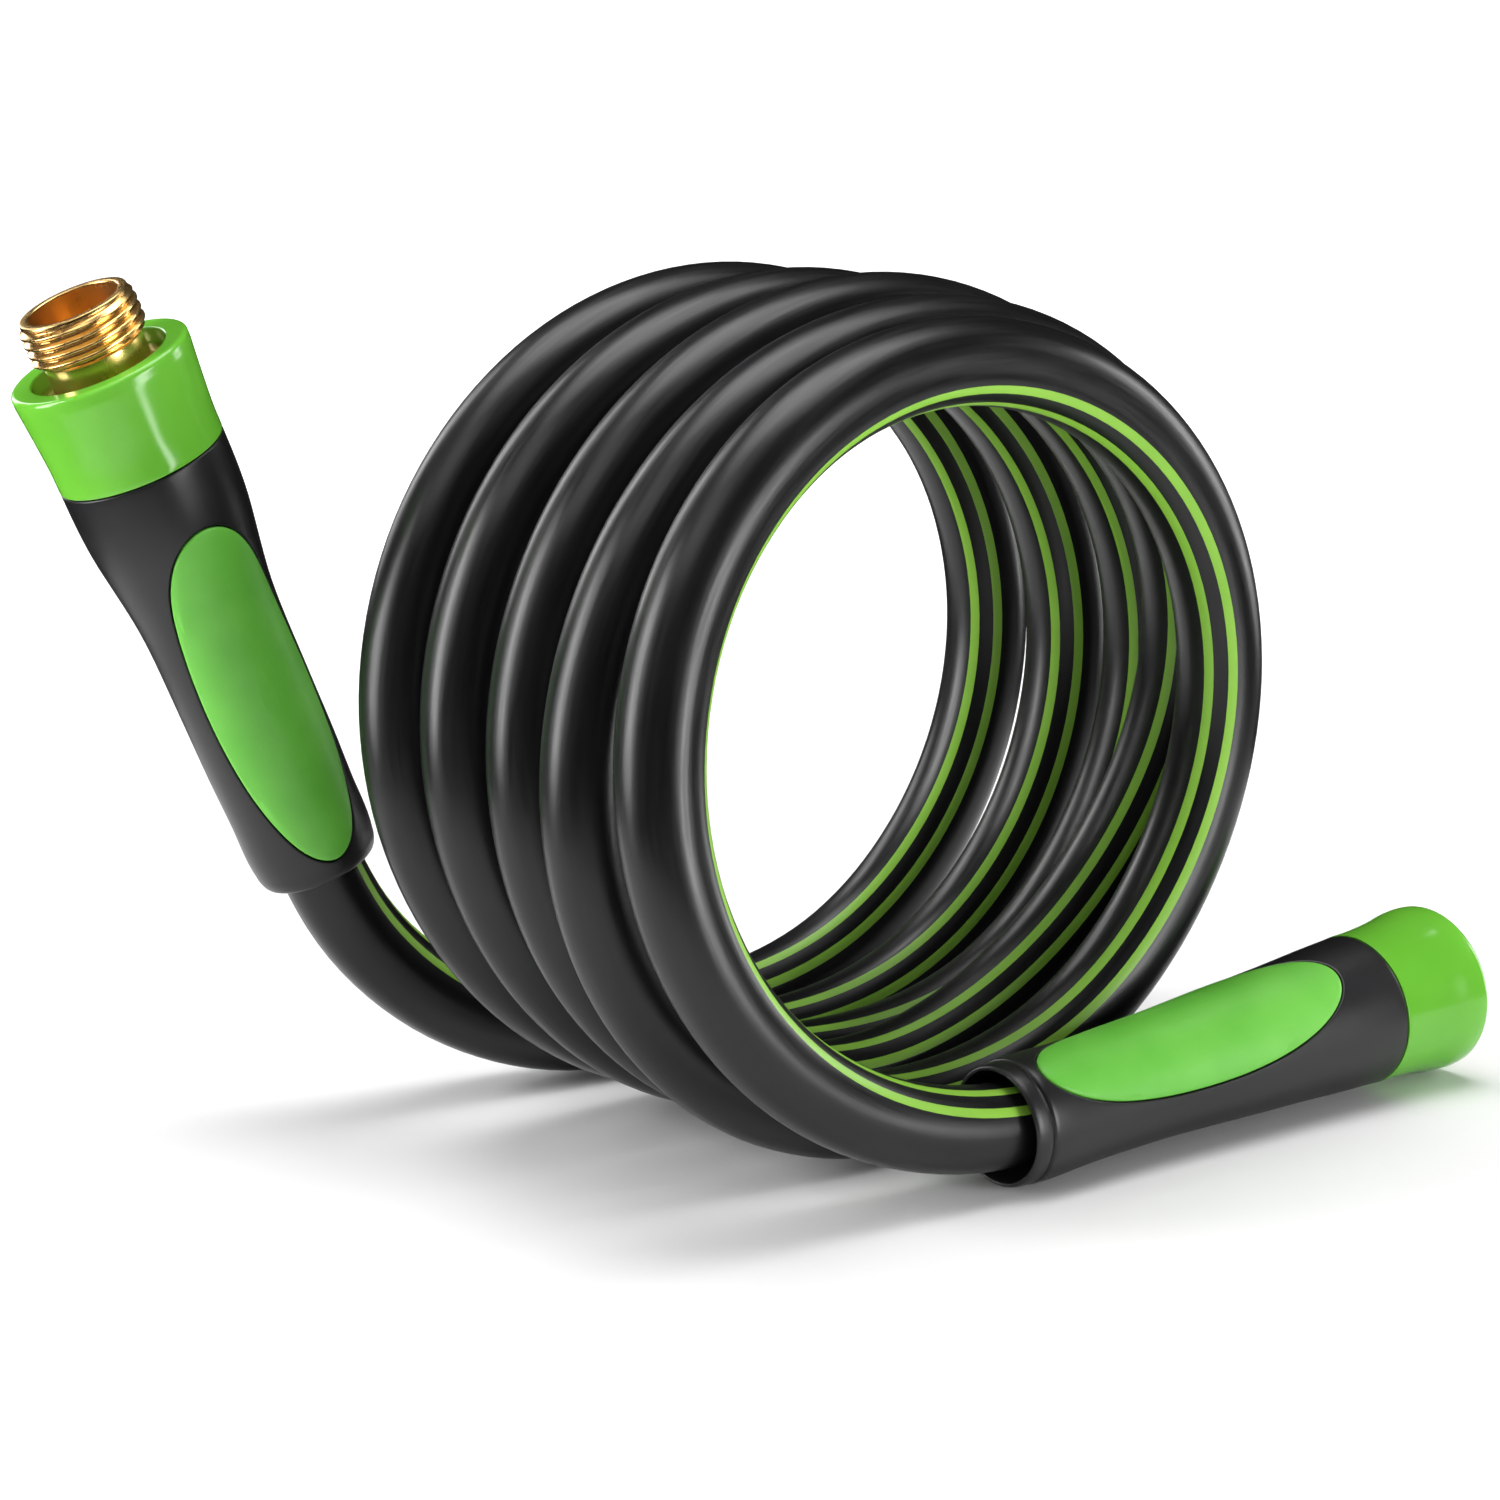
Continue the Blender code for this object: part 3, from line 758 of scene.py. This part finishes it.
# ------------------------------------------------------------------ the collars
def male_collar():
    s, radius = dense(MALE_COLLAR[:5], 1.2)
    low = MALE_COLLAR[0][0]
    out = [(low, 18.2, 0.0), (low, radius(low) - 0.02, 0.28)]
    out += [(float(x), radius(x), 0.0) for x in s[1:]]
    out += [(MALE_RIM, 20.45, 1.1), (MALE_RIM - 0.15, MALE_POCKET_R, 0.5),
            (MALE_FLANGE[0] - GAP, MALE_POCKET_R, 0.4),
            (MALE_FLANGE[0] - GAP, SHANK_R + GAP, 0.0), (low, SHANK_R + GAP, 0.0)]
    return lathe("male_collar_shell", rounded(out, 6), [COLLAR_GREEN], MALE, 160)


def female_collar():
    s, radius = dense(FEMALE_COLLAR[:6], 1.2)
    low = FEMALE_COLLAR[0][0]
    out = [(low, 17.0, 0.0), (low, radius(low) - 0.02, 0.28)]
    out += [(float(x), radius(x), 0.0) for x in s[1:]]
    out += [(FEMALE_RIM, 18.75, 1.9), (FEMALE_RIM, NUT_R + GAP, 0.5),
            (NUT[0] - GAP, NUT_R + GAP, 0.3), (NUT[0] - GAP, TAIL_NECK_R + 1.0, 0.0),
            (low, TAIL_NECK_R + 1.0, 0.0)]
    return lathe("female_collar_shell", rounded(out, 7), [COLLAR_GREEN], FEMALE, 160)


# -------------------------------------------------------------------- the brass
def crest(x):
    """Height of the thread's ridge, 0 to 1, at x pitches from its crest."""
    w = abs((x + 0.5) % 1.0 - 0.5) * 2.0
    y = min(1.0, max(0.0, (0.90 - w) / 0.72))
    return y * y * (3 - 2 * y) * 0.45 + y * 0.55


def male_coupling():
    top = THREAD_OD / 2
    start, stop = THREAD_START, MALE_TIP - 0.75

    def outer(s, a):
        root = top - THREAD_DEPTH
        r = root + THREAD_DEPTH * crest(s / THREAD_PITCH - a / (2 * math.pi))
        lead_in = THREAD_NECK_R + max(0.0, s - start) * 1.2
        lead_out = 12.45 + max(0.0, MALE_TIP - 1.1 - s) * 0.9
        return min(r, lead_in, lead_out)

    rows = int(round((stop - start) / THREAD_PITCH * 20))
    thread = [(start + (stop - start) * k / rows, -1.0) for k in range(rows + 1)]
    head = rounded([(MALE_SHANK_BACK, MALE_WATERWAY_R, 0.0), (MALE_SHANK_BACK, SHANK_R, 0.2),
                    (MALE_FLANGE[0], SHANK_R, 0.0), (MALE_FLANGE[0], MALE_FLANGE_R, 0.3),
                    (MALE_FLANGE[1], MALE_FLANGE_R, 0.45), (MALE_FLANGE[1], THREAD_NECK_R, 0.8),
                    (start - 0.1, THREAD_NECK_R, 0.0)])
    while head[-1][0] > start - 0.12 or head[-1][1] < THREAD_NECK_R - 0.5:
        head.pop()
    tail = rounded([(MALE_TIP - 0.65, 12.42, 0.0), (MALE_TIP, 12.3, 0.35),
                    (MALE_TIP, MALE_BORE_R, 0.4),
                    (MALE_TIP - MALE_BORE_DEPTH, MALE_BORE_R, 0.4),
                    (MALE_TIP - MALE_BORE_DEPTH - 2.0, MALE_WATERWAY_R, 0.3),
                    (MALE_SHANK_BACK + 1.0, MALE_WATERWAY_R, 0.0)])
    while tail[-1][0] > 122.0 or tail[-1][1] > MALE_WATERWAY_R + 0.1:
        tail.pop()
    outline = [tuple(p) for p in head] + thread + [tuple(p) for p in tail]
    return lathe("male_coupling_threaded", outline, [BRASS], MALE, 168, 44,
                 lambda s, r, a: outer(s, a) if r < 0 else r)


def female_nut():
    top, depth = SOCKET_R, 0.75
    front, back = NUT[1] - 1.0, NUT[0] + NUT_BACK_WALL

    def inner(s, a):
        r = top + 0.02 + depth * (1 - crest(s / THREAD_PITCH - a / (2 * math.pi)))
        return min(r, top + 0.9 + max(0.0, s - front) if s < front else r,
                   top + max(0.0, s - back) * 0.9 + 0.02)

    rows = int(round((front - back - 0.6) / THREAD_PITCH * 12))
    thread = [(front - (front - back - 0.6) * k / rows, -1.0) for k in range(rows + 1)]
    out = rounded([(NUT[0], TAIL_NECK_R + 0.5, 0.2), (NUT[0], NUT_R, 0.5), (NUT[1], NUT_R, 0.5),
                   (NUT[1], SOCKET_R + 1.2, 0.3), (front + 0.2, SOCKET_R + 0.6, 0.0)])
    inner_end = [(back + 0.3, SOCKET_R + 0.02), (back, SOCKET_R - 0.2), (back, TAIL_NECK_R + 0.9),
                 (back - 0.3, TAIL_NECK_R + 0.5)]
    cut = [i for i, p in enumerate(out) if p[0] >= front and p[1] < SOCKET_R + 0.7]
    outline = [tuple(p) for p in out[:cut[-1] + 1]] + thread + inner_end
    return lathe("female_nut_threaded", outline, [BRASS], FEMALE, 120, 44,
                 lambda s, r, a: inner(s, a) if r < 0 else r)


def female_tailpiece():
    out = rounded([(TAIL_BACK, WATERWAY_R, 0.3), (TAIL_BACK, TAIL_NECK_R, 0.5),
                   (TAIL_FLANGE[0], TAIL_NECK_R, 0.3), (TAIL_FLANGE[0], TAIL_FLANGE_R, 0.3),
                   (TAIL_FLANGE[1], TAIL_FLANGE_R, 0.3), (TAIL_FLANGE[1], WATERWAY_R, 0.4)])
    return lathe("female_tailpiece_turned", out, [BRASS], FEMALE, 96)


def female_washer():
    out = rounded([(WASHER[0], WASHER_R[0], 0.25), (WASHER[0], WASHER_R[1], 0.3),
                   (WASHER[1], WASHER_R[1], 0.3), (WASHER[1], WASHER_R[0], 0.25)])
    return lathe("female_washer_ring", out, [WASHER_RUBBER], FEMALE, 96)


# --------------------------------------------------------------------- assembly
hose, line, length = build_hose()
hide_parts("hose")
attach(hose, HOSE_BODY)

MALE_LIP = [(0.03, 12.9), (0.2, 13.15), (0.6, 13.42), (1.2, 13.68), (2.0, 13.93), (2.7, 14.08)]
FEMALE_LIP = [(0.03, 12.95), (0.2, 13.18), (0.6, 13.38), (1.2, 13.52), (2.0, 13.6), (3.0, 13.64),
              (3.9, 13.66), (4.15, 13.56), (4.3, 13.4), (4.55, 13.4), (4.7, 13.65), (4.85, 13.82),
              (5.1, 13.92)]
made = [
    (sleeve("male_grip_sleeve", MALE_GRIP, MALE_PAD, MALE_LIP, [GRIP_BLACK], MALE), "male_grip",
     "grip_black"),
    (pad("male_pad_inlay", MALE_GRIP, MALE_PAD, [PAD_GREEN], MALE), "male_grip_pad", "green_soft"),
    (male_collar(), "male_collar", "green_gloss"),
    (male_coupling(), "male_coupling", "brass"),
    (sleeve("female_grip_sleeve", FEMALE_GRIP, FEMALE_PAD, FEMALE_LIP, [GRIP_BLACK], FEMALE),
     "female_grip", "grip_black"),
    (pad("female_pad_inlay", FEMALE_GRIP, FEMALE_PAD, [PAD_GREEN], FEMALE), "female_grip_pad",
     "green_soft"),
    (female_collar(), "female_collar", "green_gloss"),
    (female_nut(), "female_nut", "brass"),
    (female_tailpiece(), "female_tailpiece", "brass"),
    (female_washer(), "female_washer", "washer_rubber"),
]
node_body = {n: b for b, ns in frame["record"]["behaviour"]["bodies"].items() for n in ns}
for piece, node, where in made:
    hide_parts(node)
    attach(piece, node_body[node])

# ----------------------------------------------------------------------- stage
FLOOR_Z = -0.0003
STAGE_R = 28.0           # of the floor and of the white surround
TABLE_R = 0.30           # the floor close to the object, which its pieces mirror


def stage_material(name, colour, fades_in):
    """A plain white that glows, with fades_in only away from the object, as a lit
    sweep does."""
    n = Nodes(name, colour, 0.9, Specular_IOR_Level=0.0)
    n.bsdf.inputs["Emission Color"].default_value = (1.0, 1.0, 1.0, 1.0)
    n.bsdf.inputs["Emission Strength"].default_value = 1.05
    if fades_in:
        length = n.node("ShaderNodeVectorMath", operation="LENGTH")
        n.link(n.place(), length.inputs[0])
        n.link(n.mapped(length.outputs["Value"], 0.0, 1.0, (0.30, 1.15)),
               n.bsdf.inputs["Emission Strength"])
    return n.mat


def disc(name, inner, outer, z, mat, sides=96):
    verts, faces = [], []
    for r in ((inner, outer) if inner else (outer,)):
        for k in range(sides):
            a = 2 * math.pi * k / sides
            verts.append((r * math.cos(a), r * math.sin(a), z))
    if inner:
        for k in range(sides):
            l = (k + 1) % sides
            faces.append((k, sides + k, sides + l, l))
    else:
        faces.append(tuple(range(sides)))
    me = bpy.data.meshes.new(name)
    me.from_pydata(verts, [], faces)
    me.materials.append(mat)
    ob = bpy.data.objects.new(name, me)
    bpy.context.scene.collection.objects.link(ob)
    ob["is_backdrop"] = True
    return ob


FLOOR_WHITE = stage_material("floor_white", (0.84, 0.84, 0.84), True)
disc("floor_near", 0.0, TABLE_R, FLOOR_Z, FLOOR_WHITE)
far = disc("floor_far", TABLE_R, STAGE_R, FLOOR_Z, FLOOR_WHITE)
far.visible_glossy = False

# a white surround, only for what the camera sees past the floor
verts, faces = [], []
for i in range(13):
    e = math.pi / 2 * i / 12
    for k in range(48):
        a = 2 * math.pi * k / 48
        verts.append((STAGE_R * math.cos(e) * math.cos(a), STAGE_R * math.cos(e) * math.sin(a),
                      FLOOR_Z + STAGE_R * math.sin(e)))
for i in range(12):
    for k in range(48):
        l = (k + 1) % 48
        faces.append((i * 48 + k, (i + 1) * 48 + k, (i + 1) * 48 + l, i * 48 + l))
me = bpy.data.meshes.new("surround")
me.from_pydata(verts, [], faces)
me.materials.append(stage_material("surround_white", (0.0, 0.0, 0.0), False))
surround = bpy.data.objects.new("surround", me)
bpy.context.scene.collection.objects.link(surround)
surround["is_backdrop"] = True
surround.visible_diffuse = surround.visible_glossy = False
surround.visible_transmission = surround.visible_shadow = False

world = bpy.data.worlds.new("studio")
bpy.context.scene.world = world
world.use_nodes = True
world.node_tree.nodes["Background"].inputs["Color"].default_value = (1.0, 1.0, 1.0, 1.0)
world.node_tree.nodes["Background"].inputs["Strength"].default_value = WORLD
world.cycles_visibility.glossy = False


def softbox(name, bearing, elevation, distance, width, height, radiance):
    """A soft light that looks at the object, from a bearing in degrees to the right
    of the direction of the camera."""
    b, e = math.radians(bearing), math.radians(elevation)
    place = middle + (ahead * math.cos(b) * math.cos(e) + right * math.sin(b) * math.cos(e)
                      + Vector((0, 0, math.sin(e)))) * distance
    li = bpy.data.lights.new(name, "AREA")
    li.shape = "RECTANGLE"
    li.size, li.size_y = width, height
    li.energy = radiance * math.pi * width * height
    ob = bpy.data.objects.new(name, li)
    ob.location = place
    ob.rotation_mode = "QUATERNION"
    ob.rotation_quaternion = (place - middle).to_track_quat("Z", "Y")
    bpy.context.scene.collection.objects.link(ob)
    return ob


AZ, EL, ROLL = math.radians(-35.768), math.radians(13.157), math.radians(-0.872)
right = Vector((math.cos(AZ), math.sin(AZ), 0.0))
back = Vector((math.sin(AZ) * math.cos(EL), -math.cos(AZ) * math.cos(EL), math.sin(EL)))
ahead = Vector((back.x, back.y, 0.0)).normalized()      # from the object towards the camera
middle = Vector((0.0, 0.0, 0.09))

for light in LIGHTS:
    softbox(*light)

# ---------------------------------------------------------------------- camera
cam = bpy.data.cameras.new("camera")
cam.sensor_width = 36.0
cam.sensor_fit = "HORIZONTAL"
cam.lens = 36.0 * 5152.762 / 1500.0
cam.clip_start, cam.clip_end = 0.05, 100.0
camera = bpy.data.objects.new("camera", cam)
up = back.cross(right)
r2 = right * math.cos(ROLL) + up * math.sin(ROLL)
u2 = up * math.cos(ROLL) - right * math.sin(ROLL)
m = Matrix((r2, u2, back)).transposed().to_4x4()
m.translation = Vector((np.array([-664.897, -883.561, 344.091]) + ORIGIN) * MM)
camera.matrix_world = m
bpy.context.scene.collection.objects.link(camera)
bpy.context.scene.camera = camera

bpy.context.scene.view_settings.view_transform = "Standard"

low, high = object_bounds()
